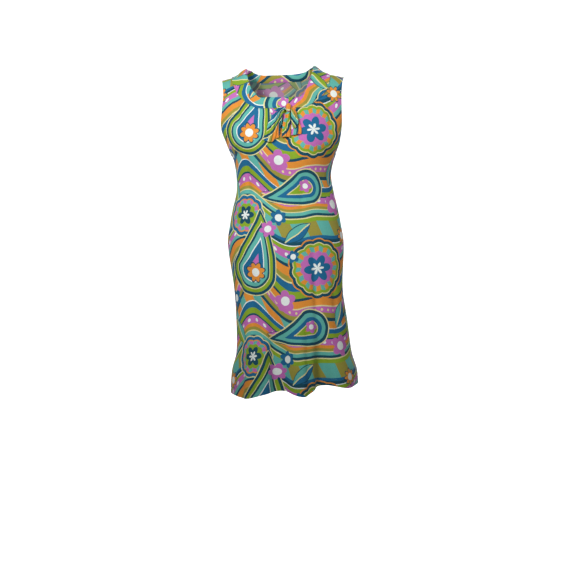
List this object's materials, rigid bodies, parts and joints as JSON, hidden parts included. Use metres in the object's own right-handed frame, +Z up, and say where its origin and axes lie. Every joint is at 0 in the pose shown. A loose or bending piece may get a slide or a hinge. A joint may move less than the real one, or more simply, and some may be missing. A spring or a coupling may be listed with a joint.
{
  "type": "shift dress",
  "caption": "Sleeveless knee-length shift dress in printed jersey with a wide folded roll collar, a limp tie bow and a wavy hem, worn shape, hollow.",
  "frame": {"origin": "midway between the shoulders, at the height of the shoulder tips, where the wearer holds the dress up", "axes": "+Z up along the dress's length, -Y out of the front, +X to the wearer's left"},
  "size_m": [0.4198, 0.3157, 1.0158],
  "materials": {
    "printed_jersey": "soft printed jersey, matte with a faint sheen",
    "collar_jersey": "the same printed jersey, folded",
    "bow_jersey": "the same printed jersey, tied"
  },
  "bodies": {
    "root": {"front_panel_hem": "printed_jersey", "front_panel_hips": "printed_jersey", "front_panel_waist": "printed_jersey", "front_panel_chest": "printed_jersey", "back_panel_hem": "printed_jersey", "back_panel_hips": "printed_jersey", "back_panel_waist": "printed_jersey", "back_panel_chest": "printed_jersey", "collar": "collar_jersey", "bow_knot": "bow_jersey", "bow_tail_left": "bow_jersey", "bow_tail_centre": "bow_jersey", "bow_loop_right": "bow_jersey", "bow_tail_right": "bow_jersey"}
  },
  "joints": []
}
